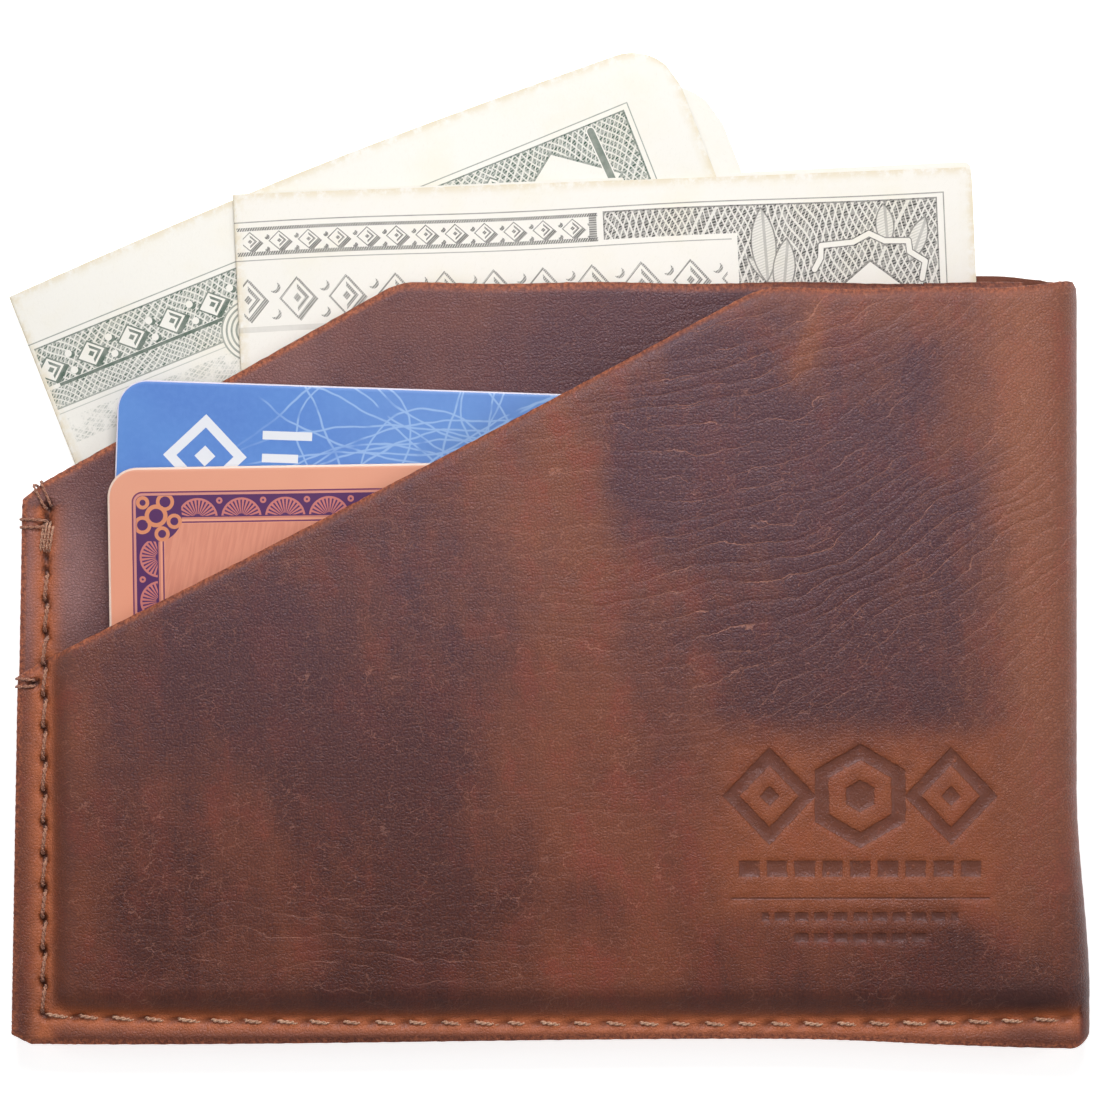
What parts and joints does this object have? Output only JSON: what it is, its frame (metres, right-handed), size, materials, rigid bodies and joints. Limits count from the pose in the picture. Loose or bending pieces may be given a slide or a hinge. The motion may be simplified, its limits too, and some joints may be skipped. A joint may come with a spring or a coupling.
{
  "type": "minimalist wallet",
  "caption": "Slim sewn leather wallet with slanted pocket mouths: cards slide in the front pocket and folded banknotes behind the divider.",
  "frame": {"origin": "centre of the whole object's plan box, at the surface that the wallet's back panel lies on", "axes": "+X towards the folded side, +Y towards the pocket mouths, +Z out of the front panel"},
  "size_m": [0.114, 0.1047, 0.007],
  "materials": {
    "outer_leather": "satin",
    "divider_leather": "satin",
    "thread": "matte",
    "orange_card": "satin",
    "blue_card": "satin",
    "note_paper": "matte"
  },
  "bodies": {
    "wallet": {"outer_wrap": "outer_leather", "divider_panel": "divider_leather", "seam_thread_front": "thread", "seam_thread_back": "thread", "edge_wrap_top": "thread", "edge_wrap_side": "thread", "edge_wrap_lower": "thread"},
    "front_card": {"card_front": "orange_card"},
    "rear_card": {"card_rear": "blue_card"},
    "front_note": {"note_front": "note_paper"},
    "rear_note": {"note_rear": "note_paper"}
  },
  "joints": [
    {"name": "front_card_slide", "type": "slide", "parent": "wallet", "child": "front_card", "axis": [-0.0157, 0.9999, 0], "range_m": [0, 0.065]},
    {"name": "rear_card_slide", "type": "slide", "parent": "wallet", "child": "rear_card", "axis": [0.034, 0.9994, 0], "range_m": [-0.007, 0.06]},
    {"name": "front_note_slide", "type": "slide", "parent": "wallet", "child": "front_note", "axis": [-0.0445, 0.999, 0], "range_m": [-0.015, 0.048]},
    {"name": "rear_note_slide", "type": "slide", "parent": "wallet", "child": "rear_note", "axis": [-0.3665, 0.9304, 0], "range_m": [-0.01, 0.04]}
  ]
}
